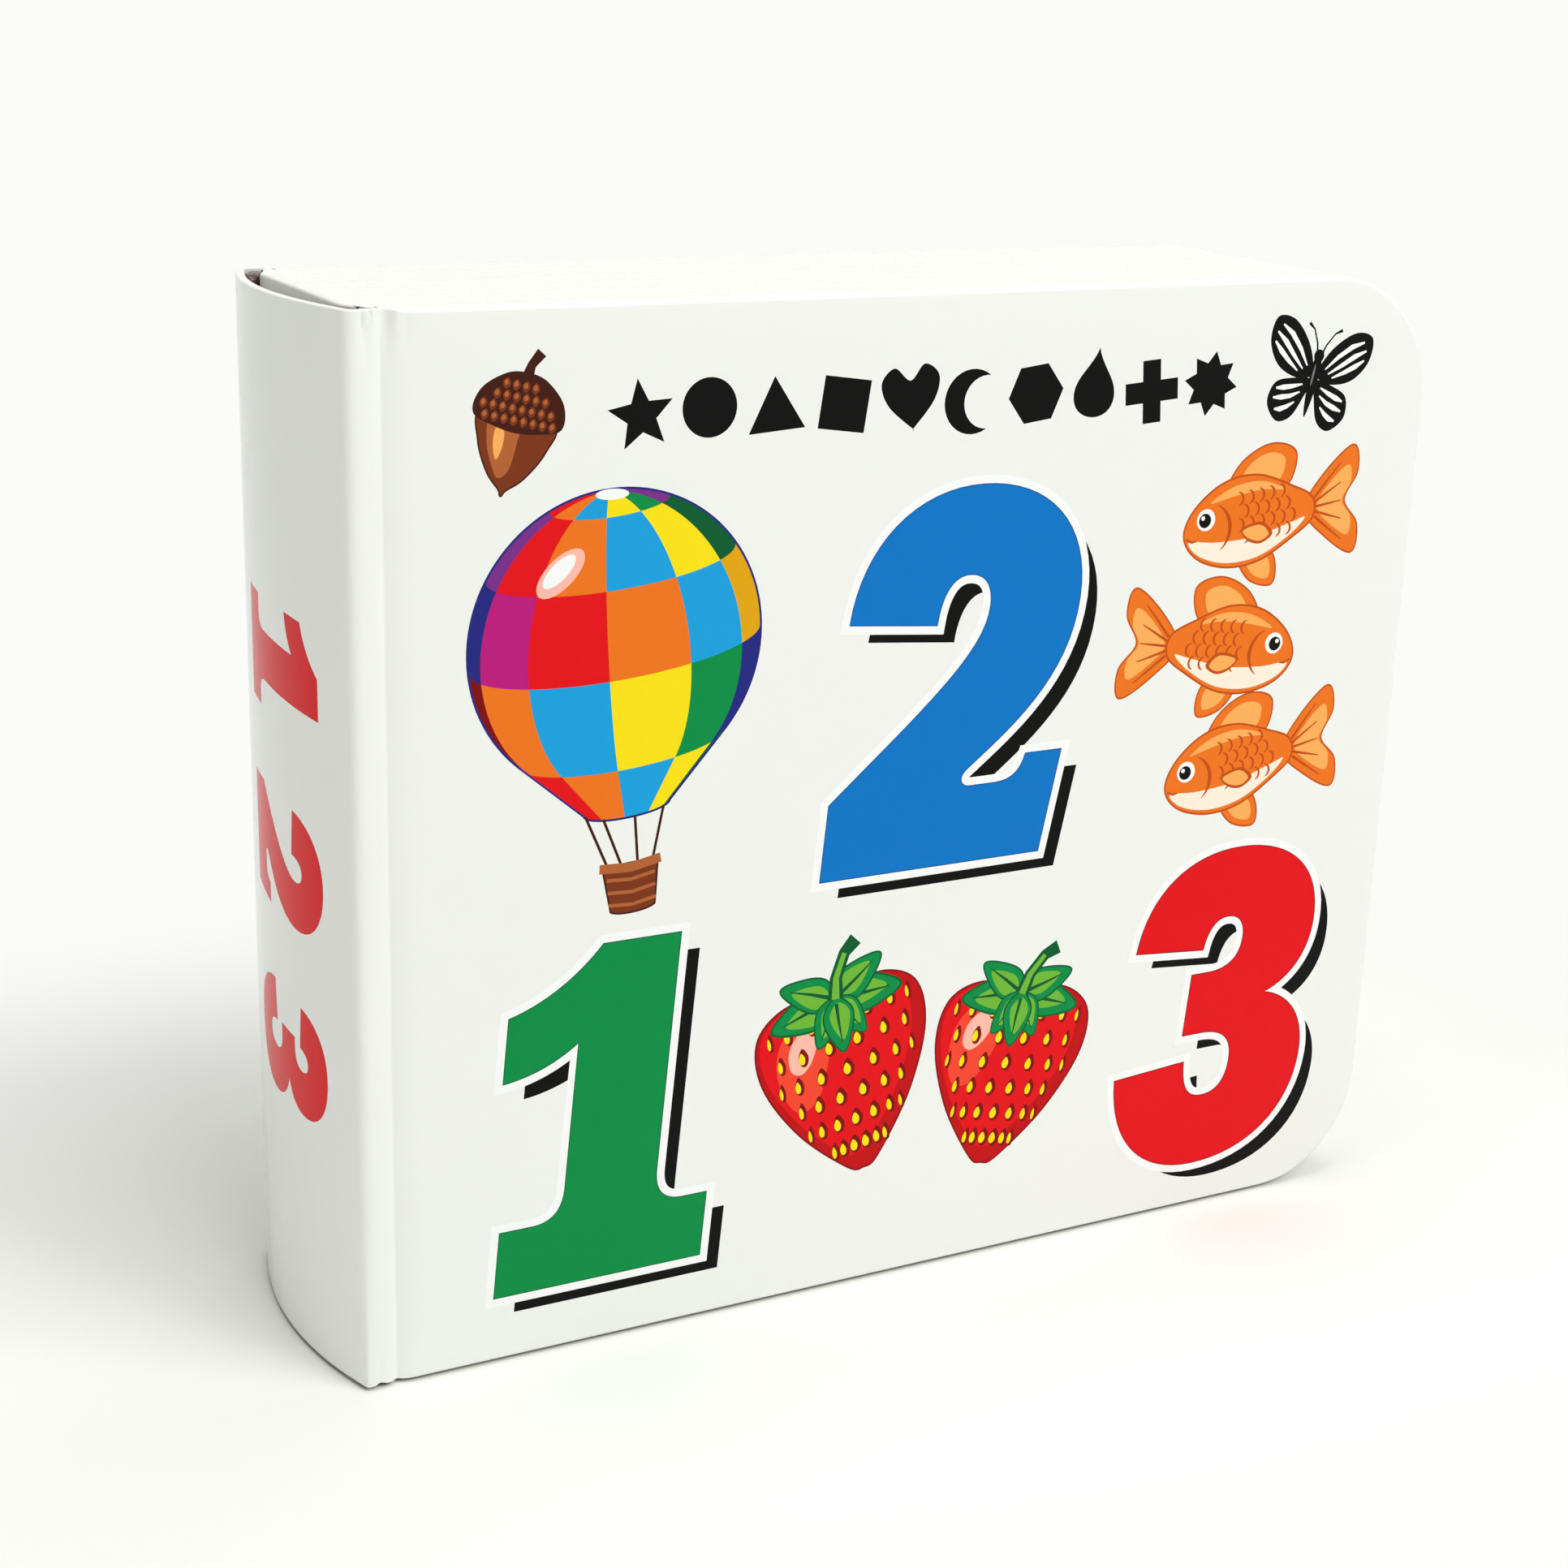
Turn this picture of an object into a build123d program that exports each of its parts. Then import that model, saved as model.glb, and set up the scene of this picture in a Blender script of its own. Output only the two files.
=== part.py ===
# A thick children's board book that stands on its tail edge.
# The spine is at -X, the front cover faces -Y and +Z is up.
# The origin is the centre of the bottom of the closed book. Sizes are in millimetres.
import os

from build123d import *

os.makedirs("parts", exist_ok=True)

# Sizes of the whole book
book_height = 150.0
board_width = 173.0  # from the spine's shoulder plane to the fore edge
fore_corner_radius = 19.0  # die-cut corners at the head and tail of the fore edge

# Sizes of the leaves
leaf_count = 20
leaf_caliper = 2.0
leaf_edge_bevel = 0.12  # soft cut edge of every leaf, which draws the line between two leaves
back_inset = 1.2  # from the shoulder plane to the back of the block
back_lining = 1.3  # the glued and lined back that holds the leaves
back_corner_depth = 2.6  # the back's corners, cut away behind the shoulders where the glue sits
back_corner_width = 5.5
back_corner_radius = 2.0  # where the back turns into the cut-away corner
back_edge_radius = 0.4  # soft head and tail ends of the lined back

# Sizes of the cover card
card_caliper = 1.2
spine_bow = 4.2  # how far the spine stands out at the middle of its width
shoulder_radius = 1.8
hinge_width = 4.5  # from the shoulder plane to the crease
spine_lift = 0.3  # the spine card's cut edge stays clear of the table
crease_depth = 0.7
crease_rise = 1.1  # width of the short steep side of the crease, on the hinge strip
crease_ramp = 4.5  # width of the long gentle side of the crease, on the board
cover_edge_radius = 0.8

# Sizes of the glue beads
glue_reach = 6.0  # from the corner of the block along the back
glue_inset = 0.4  # from the head and the tail

# Clearances
board_gap = 0.15  # between each board and the leaf under it
crease_gap = 0.3  # between a hinge strip and its board
glue_gap = 0.05
cut_overrun = 5.0

# Places worked out from the sizes
block_half = leaf_count * leaf_caliper / 2
stub_half = block_half + board_gap + leaf_caliper
book_half = stub_half + card_caliper
fore_edge_x = (board_width + spine_bow) / 2
shoulder_x = fore_edge_x - board_width
bow_x = shoulder_x - spine_bow
back_x = shoulder_x + back_inset
crease_x = shoulder_x + hinge_width
strip_end_x = crease_x - crease_gap / 2
board_start_x = crease_x + crease_gap / 2


def slab(start_x, first_y, caliper):
    """A board or leaf from start_x to the fore edge, between the planes y = first_y and first_y + caliper."""
    width = fore_edge_x - start_x
    with BuildPart() as board:
        with BuildSketch(Plane.XZ.offset(-first_y - caliper)):
            with Locations((start_x + width / 2, book_height / 2)):
                Rectangle(width, book_height)
            fillet(vertices().group_by(Axis.X)[-1], fore_corner_radius)
        extrude(amount=caliper)
    return board.part


def cut_edges(face):
    """The edges of a board's face that the knife cut, without the straight edge on the spine's side."""
    return face.edges().sort_by(Axis.X)[1:]


def leaf_shape(start_x, first_y, caliper):
    """A leaf with the soft edge that the knife leaves on both of its faces."""
    with BuildPart() as leaf:
        add(slab(start_x, first_y, caliper))
        for side in (0, -1):
            chamfer(cut_edges(leaf.faces().sort_by(Axis.Y)[side]), leaf_edge_bevel)
    return leaf.part


def block_plan(growth):
    """The block's plan over its whole width, with the back's corners cut away, grown by a gap."""
    with BuildSketch() as plan:
        with BuildLine():
            front_side = Line((fore_edge_x, -stub_half), (back_x + back_corner_depth, -stub_half))
            front_corner = Line(front_side @ 1, (back_x, back_corner_width - stub_half))
            back = Line(front_corner @ 1, (back_x, stub_half - back_corner_width))
            back_corner = Line(back @ 1, (back_x + back_corner_depth, stub_half))
            back_side = Line(back_corner @ 1, (fore_edge_x, stub_half))
            Line(back_side @ 1, front_side @ 0)
        make_face()
        fillet(plan.vertices().group_by(Axis.X)[0], back_corner_radius)
        if growth:
            offset(amount=growth)
    return plan.sketch


def wrap_plan(inset):
    """The plan inside the bowed spine card, from its outer face less an inset, with the shoulders rounded."""
    far_x = strip_end_x + cut_overrun
    with BuildSketch() as plan:
        with BuildLine():
            front_run = Line((far_x, -book_half), (shoulder_x, -book_half))
            bow = ThreePointArc(front_run @ 1, (bow_x, 0), (shoulder_x, book_half))
            back_run = Line(bow @ 1, (far_x, book_half))
            Line(back_run @ 1, front_run @ 0)
        make_face()
        fillet(plan.vertices().group_by(Axis.X)[0], shoulder_radius)
        if inset:
            offset(amount=-inset)
    return plan.sketch


def crease_plan(flat_x, low_x, side):
    """The plan of what the crease takes off one edge: an arc that leaves the flat face and falls to low_x."""
    with BuildSketch() as plan:
        with BuildLine():
            flat = Line((low_x, side * book_half), (flat_x, side * book_half))
            fall = TangentArc(flat @ 1, (low_x, side * (book_half - crease_depth)), tangent=flat % 1 * -1)
            Line(fall @ 1, flat @ 0)
        make_face()
    return plan.sketch


# The stub of an outer leaf, which stays under the hinge strip when its board opens
with BuildPart() as stub:
    add(leaf_shape(back_x + back_lining, block_half, leaf_caliper + board_gap))
    split(bisect_by=Plane.YZ.offset(strip_end_x), keep=Keep.BOTTOM)

# The block of leaves, held by its lined back
inner_leaf = leaf_shape(back_x + back_lining, -block_half, leaf_caliper)
with BuildPart() as page_block:
    with Locations(*[(0, number * leaf_caliper, 0) for number in range(leaf_count)]):
        add(inner_leaf)
    add(stub.part)
    mirror(stub.part, about=Plane.XZ)
    with BuildSketch():
        with Locations((back_x + back_lining / 2, 0)):
            Rectangle(back_lining, 2 * stub_half)
    extrude(amount=book_height)
    fillet(page_block.faces().sort_by(Axis.X)[0].edges().filter_by(Axis.Y), back_edge_radius)
    with BuildSketch():
        add(block_plan(0))
    extrude(amount=book_height, mode=Mode.INTERSECT)
page_block.part.label = "page_block"

# The spine card, bowed outwards and turned round both shoulders, to the two creases
with BuildPart() as spine_cover:
    with BuildSketch(Plane.XY.offset(spine_lift)):
        add(wrap_plan(0))
        add(wrap_plan(card_caliper), mode=Mode.SUBTRACT)
        with Locations((strip_end_x + cut_overrun, 0)):
            Rectangle(2 * cut_overrun, 2 * (book_half + cut_overrun), mode=Mode.SUBTRACT)
        for side in (-1, 1):
            add(crease_plan(strip_end_x - crease_rise, strip_end_x, side), mode=Mode.SUBTRACT)
    extrude(amount=book_height - spine_lift)
spine_cover.part.label = "spine_cover"

# The front board: the cover card pasted to the first leaf
with BuildPart() as front_card:
    add(slab(board_start_x, -book_half, card_caliper))
    with BuildSketch():
        add(crease_plan(board_start_x + crease_ramp, board_start_x, -1))
    extrude(amount=book_height, mode=Mode.SUBTRACT)
    fillet(cut_edges(front_card.faces().filter_by(Plane.XZ).sort_by(Axis.Y)[0]), cover_edge_radius)
    chamfer(cut_edges(front_card.faces().filter_by(Plane.XZ).sort_by(Axis.Y)[-1]), leaf_edge_bevel)
with BuildPart() as front_cover:
    add(leaf_shape(board_start_x, -stub_half, leaf_caliper))
    add(front_card.part)
front_cover.part.label = "front_cover"

# The back board, the mirror of the front one
with BuildPart() as back_cover:
    mirror(front_cover.part, about=Plane.XZ)
back_cover.part.label = "back_cover"

# The glue in the two ends of the hollow behind the spine
with BuildPart() as spine_glue_front:
    with BuildSketch(Plane.XY.offset(glue_inset)):
        with Locations((back_x, -stub_half)):
            Circle(glue_reach)
        add(wrap_plan(card_caliper + glue_gap), mode=Mode.INTERSECT)
        add(block_plan(glue_gap), mode=Mode.SUBTRACT)
    extrude(amount=book_height - 2 * glue_inset)
spine_glue_front.part.label = "spine_glue_front"

with BuildPart() as spine_glue_back:
    mirror(spine_glue_front.part, about=Plane.XZ)
spine_glue_back.part.label = "spine_glue_back"

for piece in (page_block, front_cover, back_cover, spine_cover, spine_glue_front, spine_glue_back):
    export_step(piece.part, "parts/" + piece.part.label + ".step")
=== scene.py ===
# %% [markdown]
# # A thick board book for small children
# The book stands on its tail edge with its spine on the left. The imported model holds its
# solids: a block of leaves, two boards, a bowed spine card and two beads of glue. This lesson
# gives them their looks. A shape's lengths are in millimetres here, and become metres in a mesh.

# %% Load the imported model
import math

import bmesh
import bpy
import numpy as np
from mathutils import Matrix, Vector
from mathutils.geometry import delaunay_2d_cdt


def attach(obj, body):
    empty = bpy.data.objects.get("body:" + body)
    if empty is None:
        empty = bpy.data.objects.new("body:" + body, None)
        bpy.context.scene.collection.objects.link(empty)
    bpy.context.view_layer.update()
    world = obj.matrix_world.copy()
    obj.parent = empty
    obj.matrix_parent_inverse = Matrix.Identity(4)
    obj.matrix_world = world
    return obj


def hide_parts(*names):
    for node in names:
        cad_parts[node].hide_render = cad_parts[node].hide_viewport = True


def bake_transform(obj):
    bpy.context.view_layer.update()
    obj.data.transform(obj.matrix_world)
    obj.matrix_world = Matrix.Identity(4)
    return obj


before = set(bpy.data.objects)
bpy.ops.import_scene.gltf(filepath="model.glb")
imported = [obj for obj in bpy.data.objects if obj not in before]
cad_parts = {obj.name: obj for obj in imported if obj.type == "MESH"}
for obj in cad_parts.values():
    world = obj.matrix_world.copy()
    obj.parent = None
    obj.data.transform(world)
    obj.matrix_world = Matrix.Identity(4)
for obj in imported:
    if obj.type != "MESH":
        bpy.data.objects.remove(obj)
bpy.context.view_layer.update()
MM = 0.001
print("solids:", sorted(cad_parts))

# %% [markdown]
# ## The sizes of the book
# The book is 150 mm high. Its boards run from the two creases to the fore edge, where the die
# has cut round corners. The spine card bows outwards between the two shoulders.

# %% Sizes in millimetres
height = 150.0
fore_x = 88.6
fore_corner = 19.0
shoulder_x = -84.4
half = 23.35
card = 1.2
leaf = 2.0
stub_half = half - card

# %% [markdown]
# ## The camera
# A photographer stood a little to the left of the book and above it. A camera is turned by the
# three directions of its own frame: to the right of the picture, up the picture, and backwards.
# They come from the angle round the book, the angle above the table, and a small roll.

# %% Place the camera
view_round, view_down, view_roll = (math.radians(angle) for angle in (28.20, 17.47, 1.78))
camera_place = (-0.18776, -0.33343, 0.19235)
ahead = Vector((math.sin(view_round) * math.cos(view_down),
                math.cos(view_round) * math.cos(view_down), -math.sin(view_down)))
level = Vector((math.cos(view_round), -math.sin(view_round), 0))
upright = level.cross(ahead)
right = math.cos(view_roll) * level + math.sin(view_roll) * upright
upwards = math.cos(view_roll) * upright - math.sin(view_roll) * level
camera = bpy.data.objects.new("photo_camera", bpy.data.cameras.new("photo_camera"))
camera.data.lens = 59.97
camera.data.sensor_width = 36
camera.data.clip_start = 0.01
turn = Matrix((right, upwards, -ahead)).transposed().to_4x4()
camera.matrix_world = Matrix.Translation(camera_place) @ turn
bpy.context.scene.collection.objects.link(camera)
bpy.context.scene.camera = camera
print("camera looks along", [round(part, 3) for part in ahead])

# %% [markdown]
# ## Helpers for surfaces
# Every new piece is made of patches: grids of points worked out from a formula. Patches that
# meet share the points of their common edge, and these are welded into one closed mesh.

# %% Turn patches into a piece
weld_distance = 0.004


def grid(points):
    """The corners of a grid of points, rows by columns, and the quads between neighbours."""
    rows, columns = points.shape[:2]
    number = np.arange(rows * columns).reshape(rows, columns)
    quads = np.stack([number[:-1, :-1], number[1:, :-1], number[1:, 1:], number[:-1, 1:]], -1)
    return points.reshape(-1, 3), quads.reshape(-1, 4)


def make_piece(name, patches, finishes, sharp=35):
    """Welds patches into one mesh. A patch is its corners, its faces, their finish and whether it shades soft."""
    corners, faces, slots, softs, start = [], [], [], [], 0
    for points, polygons, slot, soft in patches:
        corners.append(points)
        faces += (np.asarray(polygons) + start).tolist()
        slots.append(np.broadcast_to(slot, len(polygons)))
        softs.append(np.full(len(polygons), soft))
        start += len(points)
    mesh = bpy.data.meshes.new(name)
    mesh.from_pydata((np.concatenate(corners) * MM).tolist(), [], faces)
    mesh.polygons.foreach_set("material_index", np.concatenate(slots).astype(np.int32))
    mesh.polygons.foreach_set("use_smooth", np.concatenate(softs))
    welded = bmesh.new()
    welded.from_mesh(mesh)
    bmesh.ops.remove_doubles(welded, verts=welded.verts, dist=weld_distance * MM)
    bmesh.ops.recalc_face_normals(welded, faces=welded.faces)
    open_edges = sum(len(edge.link_faces) != 2 for edge in welded.edges)
    welded.to_mesh(mesh)
    welded.free()
    mesh.set_sharp_from_angle(angle=math.radians(sharp))
    for finish in finishes:
        mesh.materials.append(finish)
    piece = bpy.data.objects.new(name, mesh)
    bpy.context.scene.collection.objects.link(piece)
    print(name, len(mesh.vertices), "corners,", len(mesh.polygons), "faces,", open_edges, "open edges")
    return piece


# %% [markdown]
# ## Card and leaves as sections
# A board is the same section carried along its length: a flat outer face, a cut edge at the
# head, a flat inner face and a cut edge at the tail. At the fore edge the die goes round the
# corner, so there the section turns through a quarter circle until it stands along the fore edge.

# %% Carry a section along a run of card
def slab(outer, inner, turned, soft_outer, soft_inner, rows, steps=6):
    """Patches of a card whose plan runs along the points outer, with inner below them.

    The cut edge steps in by r(1 - sin a) while it goes down by r(1 - cos a), for a from 0 to 90
    degrees, on both faces. The fore corner has the radius R: a point that is stepped in by d
    lies R - d from the corner's centre, at the angle that the run has turned through.
    """
    way = inner - outer
    thick = np.linalg.norm(way, axis=1)[:, None]
    way = way / thick
    a = np.linspace(0, math.pi / 2, steps + 1)
    r_out, r_in = np.broadcast_to(soft_outer, len(outer))[:, None], np.full((len(outer), 1), soft_inner)
    step_in = np.concatenate([r_out * (1 - np.sin(a)), r_in * (1 - np.sin(a[::-1]))], 1)
    down = np.concatenate([r_out * (1 - np.cos(a)), thick - r_in * (1 - np.cos(a[::-1]))], 1)

    def place(k, step, depth, share):
        """Points of the stations k, stepped in and down, at a share of the height between tail and head."""
        reach = fore_corner - step
        low = fore_corner - reach * np.cos(turned[k, None])
        x = outer[k, :1] + way[k, :1] * depth + reach * np.sin(turned[k, None])
        y = outer[k, 1:] + way[k, 1:] * depth
        return np.stack(np.broadcast_arrays(x, y, low + (height - 2 * low) * share), -1)

    every, last = np.arange(len(outer)), np.full(step_in.shape[1], len(outer) - 1)
    face = place(every, r_out, 0 * r_out, rows)
    head, tail = place(every, step_in, down, 1.0), place(every, step_in, down, 0.0)
    under = place(every, r_in, thick, rows)
    fore = place(last, step_in[-1][:, None], down[-1][:, None], rows)
    cap = np.concatenate([face[0], head[0, 1:-1], under[0, ::-1], tail[0, -2:0:-1]])
    return face, head, tail, under, fore, cap


def closed(points):
    """One many-sided face through the points."""
    return points, [list(range(len(points)))]


print("helpers ready")

# %% [markdown]
# ## Finishes
# The cover is white card with gloss film over its print. Film pulled over card is never quite
# flat: a fine orange peel and slow ripples bend the reflections, so both go into the bump. Each
# ink is one clean colour on the shader, and the film over it is the same everywhere.

# %% Mix the gloss film over a colour
def linear(red, green, blue):
    """A screen colour from 0 to 255 as the light it stands for: ((c + 0.055) / 1.055) to the power 2.4."""
    return tuple(((part / 255 + 0.055) / 1.055) ** 2.4 for part in (red, green, blue)) + (1,)


def add_node(nodes, kind, **settings):
    """A node of that kind, with the given numbers on its inputs."""
    node = nodes.new(kind)
    for name, value in settings.items():
        node.inputs[name].default_value = value
    return node


def new_material(name):
    """A material with its nodes, its links and its shader at hand."""
    material = bpy.data.materials.new(name)
    material.use_nodes = True
    nodes, links = material.node_tree.nodes, material.node_tree.links
    return material, nodes, links, nodes["Principled BSDF"]


def join(links, *pairs):
    """Links nodes. Each pair is a node and its output, then a node and its input."""
    for source, output, target, entry in pairs:
        links.new(source.outputs[output], target.inputs[entry])


def film(name, colour, shine=0.16, mirror=0.4):
    """Gloss film: roughness wanders a little, and two noises on object coordinates make the bump."""
    material, nodes, links, shader = new_material(name)
    shader.inputs["Base Color"].default_value = colour
    shader.inputs["Specular IOR Level"].default_value = mirror
    where = nodes.new("ShaderNodeTexCoord")
    smudge = add_node(nodes, "ShaderNodeTexNoise", Scale=55, Detail=3)
    gloss = add_node(nodes, "ShaderNodeMapRange")
    gloss.inputs["To Min"].default_value = shine - 0.05
    gloss.inputs["To Max"].default_value = shine + 0.07
    peel = add_node(nodes, "ShaderNodeTexNoise", Scale=620, Detail=1)
    ripple = add_node(nodes, "ShaderNodeTexNoise", Scale=48, Detail=1)
    fine = add_node(nodes, "ShaderNodeBump", Strength=0.5, Distance=0.000008)
    slow = add_node(nodes, "ShaderNodeBump", Strength=0.5, Distance=0.00016)
    join(links, *((where, "Object", noise, "Vector") for noise in (smudge, peel, ripple)),
         (smudge, "Fac", gloss, "Value"), (gloss, "Result", shader, "Roughness"),
         (ripple, "Fac", slow, "Height"), (slow, "Normal", fine, "Normal"),
         (peel, "Fac", fine, "Height"), (fine, "Normal", shader, "Normal"))
    return material


white_film = film("cover_laminate", linear(242, 244, 239))
print("film on white:", white_film.name)

# %% [markdown]
# ## Board and paper
# A leaf is pulp board with smooth white paper on both faces. Where the knife cut it, the plies
# show as fine streaks along the edge, so the noise is stretched: quick across the leaf, slow
# along it. The edge on which the book stands is painted grey: painted shade that darkens the
# line where the book meets the table.

# %% Mix the board
def colour_ramp(nodes, low, dark, high, light):
    """A ramp from the dark colour at low to the light one at high."""
    tone = nodes.new("ShaderNodeValToRGB")
    tone.color_ramp.elements[0].position, tone.color_ramp.elements[0].color = low, dark
    tone.color_ramp.elements[1].position, tone.color_ramp.elements[1].color = high, light
    return tone


def with_operation(nodes, kind, operation):
    """A node that does that sum."""
    node = nodes.new(kind)
    node.operation = operation
    return node


def board(name, light, dark):
    """Cut board: the colour runs between two whites along stretched noise, which is also the bump."""
    material, nodes, links, shader = new_material(name)
    shader.inputs["Roughness"].default_value = 0.62
    where = nodes.new("ShaderNodeTexCoord")
    stretch = add_node(nodes, "ShaderNodeMapping", Scale=(60, 2600, 60))
    plies = add_node(nodes, "ShaderNodeTexNoise", Scale=1, Detail=3)
    specks = add_node(nodes, "ShaderNodeTexNoise", Scale=900, Detail=2)
    both = with_operation(nodes, "ShaderNodeMath", "MULTIPLY")
    tone = colour_ramp(nodes, 0.12, dark, 0.34, light)
    bump = add_node(nodes, "ShaderNodeBump", Strength=0.6, Distance=0.000015)
    join(links, (where, "Object", stretch, "Vector"), (stretch, "Vector", plies, "Vector"),
         (where, "Object", specks, "Vector"), (plies, "Fac", both, 0), (specks, "Fac", both, 1),
         (both, "Value", tone, "Fac"), (tone, "Color", shader, "Base Color"),
         (plies, "Fac", bump, "Height"), (bump, "Normal", shader, "Normal"))
    return material


leaf_board = board("leaf_board", linear(244, 244, 239), linear(236, 235, 229))
card_board = film("card_edge", linear(240, 240, 237), shine=0.5)
# painted shade: this grey on the tail edge darkens the line where the book meets the table
painted_shade_board = film("painted_contact_shade", linear(120, 117, 110), shine=0.6)
page_paper = film("page_paper", linear(242, 243, 239), shine=0.38, mirror=0.3)
print("board:", leaf_board.name, "and paper:", page_paper.name)

# %% [markdown]
# ## The plan of the cover card
# The cover is one card that goes from the back board round the spine to the front board. Seen
# from above, the spine is a shallow arc whose two ends turn round the shoulders in small arcs.
# After the front shoulder comes a narrow strip, then the pressed crease: steep on the strip's
# side, and a long gentle ramp on the board's side.

# %% Work out the spine's arcs
bow = 4.2
shoulder_round = 1.8
bow_radius = (half ** 2 + bow ** 2) / (2 * bow)
bow_middle = shoulder_x - bow + bow_radius
turn_y = half - shoulder_round
turn_x = bow_middle - math.sqrt((bow_radius - shoulder_round) ** 2 - turn_y ** 2)
lean = math.degrees(math.atan2(turn_y, turn_x - bow_middle))
seam_x = -82.0


def arc(middle, radius, start, end, count):
    """Points on an arc between two angles in degrees, and the points one card's thickness further in."""
    a = np.radians(np.linspace(start, end, count))
    way = np.stack([np.cos(a), np.sin(a)], -1)
    return np.array(middle) + radius * way, np.array(middle) + (radius - card) * way


print("the bow has a radius of", round(bow_radius, 1), "mm and leans", round(lean, 1), "degrees at the shoulders")

# %% Work out the crease and the board
strip_end, board_start, crease_depth = -80.05, -79.75, 0.7
rise, ramp = 1.1, 4.5
rise_radius = (rise ** 2 + crease_depth ** 2) / (2 * crease_depth)
ramp_radius = (ramp ** 2 + crease_depth ** 2) / (2 * crease_depth)
corner_x = fore_x - fore_corner
flat_x = board_start + ramp
strip_sink = 0.45
corner_steps = 20


def crease(x):
    """How deep the crease is at x: an arc that leaves the strip, and a longer one that climbs to the board.

    The strip itself sinks a little on its way from the shoulder to the crease, along a smoothstep.
    """
    steep = rise_radius - np.sqrt(rise_radius ** 2 - np.clip(x - strip_end + rise, 0, rise) ** 2)
    gentle = ramp_radius - np.sqrt(ramp_radius ** 2 - np.clip(flat_x - x, 0, ramp) ** 2)
    t = np.clip((x - turn_x) / (strip_end - turn_x), 0, 1)
    sunk = strip_sink * t * t * (3 - 2 * t) * (1 - steep / crease_depth)
    return np.where(x < strip_end, steep + sunk, gentle)


def board_run(first_x, side):
    """The plan from first_x to the fore corner on one side, front at -1 and back at 1, and each station's turn."""
    x = np.concatenate([
        np.linspace(first_x, strip_end - rise, 6)[:-1], strip_end - rise * np.linspace(1, 0, 14) ** 1.2,
        [(strip_end + board_start) / 2], board_start + ramp * np.linspace(0, 1, 22) ** 1.6,
        np.linspace(flat_x, corner_x, 9)[1:], np.full(corner_steps, corner_x)])
    turned = np.concatenate([np.zeros(len(x) - corner_steps),
                             np.radians(np.linspace(0, 90, corner_steps + 1))[1:]])
    outer = np.stack([x, side * (half - crease(x))], -1)
    inner = np.stack([x, np.full(len(x), side * stub_half)], -1)
    return outer, inner, turned


back_turn = arc((turn_x, turn_y), shoulder_round, 90, lean, 12)
bow_arc = arc((bow_middle, 0), bow_radius, lean, 360 - lean, 49)
front_turn = arc((turn_x, -turn_y), shoulder_round, 360 - lean, 270, 12)
front_run = board_run(turn_x, -1)
back_run = board_run(seam_x, 1)
print("front run has", len(front_run[0]), "stations")

# %% [markdown]
# ## Drawing the print
# The print is laid down like cut paper, from the bottom up: each shape is a closed outline and
# an ink. The flat of the cover is then cut into triangles along every outline, and each triangle
# takes the ink of the topmost shape over it. The print is so part of the card, with sharp edges
# at any distance. It is a generic counting design: plain numerals, fruit, fish and a balloon.

# %% Helpers that draw outlines
def turned_ccw(shape):
    """The outline with its inside on the left, which its signed area tells."""
    following = np.roll(shape, -1, 0)
    area = (shape[:, 0] * following[:, 1] - following[:, 0] * shape[:, 1]).sum()
    return shape if area > 0 else shape[::-1]


def outline(start, *runs):
    """A closed outline of straight runs, each given by its end, and cubic curves, each given by two handles and
    its end."""
    points, t = [np.array([start], float)], np.linspace(0, 1, 17)[1:, None]
    for run in runs:
        first, ends = points[-1][-1], np.array(run, float).reshape(-1, 2)
        if len(ends) == 1:
            points.append(ends)
        else:
            points.append((1 - t) ** 3 * first + 3 * (1 - t) ** 2 * t * ends[0]
                          + 3 * (1 - t) * t ** 2 * ends[1] + t ** 3 * ends[2])
    return np.concatenate(points)


def blob(points, steps=8):
    """A closed smooth line through the points: a Catmull-Rom curve, whose spans are cubics of four neighbours."""
    p = np.array(points, float)
    a, b, c, d = (np.roll(p, shift, 0)[:, None] for shift in (1, 0, -1, -2))
    t = np.linspace(0, 1, steps, endpoint=False)[None, :, None]
    curve = 2 * b + (c - a) * t + (2 * a - 5 * b + 4 * c - d) * t ** 2 + (3 * b - a - 3 * c + d) * t ** 3
    return curve.reshape(-1, 2) / 2


def oval(x, y, across, up=None, lean=0, count=40):
    """An ellipse about (x, y), turned by lean degrees."""
    a = np.linspace(0, 2 * math.pi, count, endpoint=False)
    shape = np.stack([across * np.cos(a), (across if up is None else up) * np.sin(a)], -1)
    return moved(shape, lean=lean, to=(x, y))


def moved(shape, scale=1.0, lean=0, to=(0, 0)):
    """The shape made larger about the origin, turned anticlockwise by lean degrees and put at a place."""
    c, s = math.cos(math.radians(lean)), math.sin(math.radians(lean))
    return np.asarray(shape) * scale @ np.array([[c, s], [-s, c]]) + np.array(to)


def grown(shape, by):
    """The outline moved outwards: a corner goes along the sum m of its edges' outward normals, by 2m / |m|^2."""
    p = turned_ccw(shape)
    ahead = np.roll(p, -1, 0) - p
    ahead = ahead / np.maximum(np.linalg.norm(ahead, axis=1, keepdims=True), 1e-9)
    normal = np.stack([ahead[:, 1], -ahead[:, 0]], -1)
    both = normal + np.roll(normal, 1, 0)
    return p + by * 2 * both / np.maximum((both ** 2).sum(1, keepdims=True), 0.8)


def stroke(points, width):
    """A brush stroke: the left and right side of a line, half its width away along its normals."""
    p = np.array(points, float)
    along = np.gradient(p, axis=0)
    along /= np.linalg.norm(along, axis=1, keepdims=True)
    side = np.stack([-along[:, 1], along[:, 0]], -1) * np.broadcast_to(width, len(p))[:, None] / 2
    return np.concatenate([p - side, (p + side)[::-1]])


def arch(x, y, radius, start, end, count):
    """Points on an arc about (x, y) from one angle to another, in degrees."""
    a = np.radians(np.linspace(start, end, count))
    return np.stack([x + radius * np.cos(a), y + radius * np.sin(a)], -1)


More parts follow.
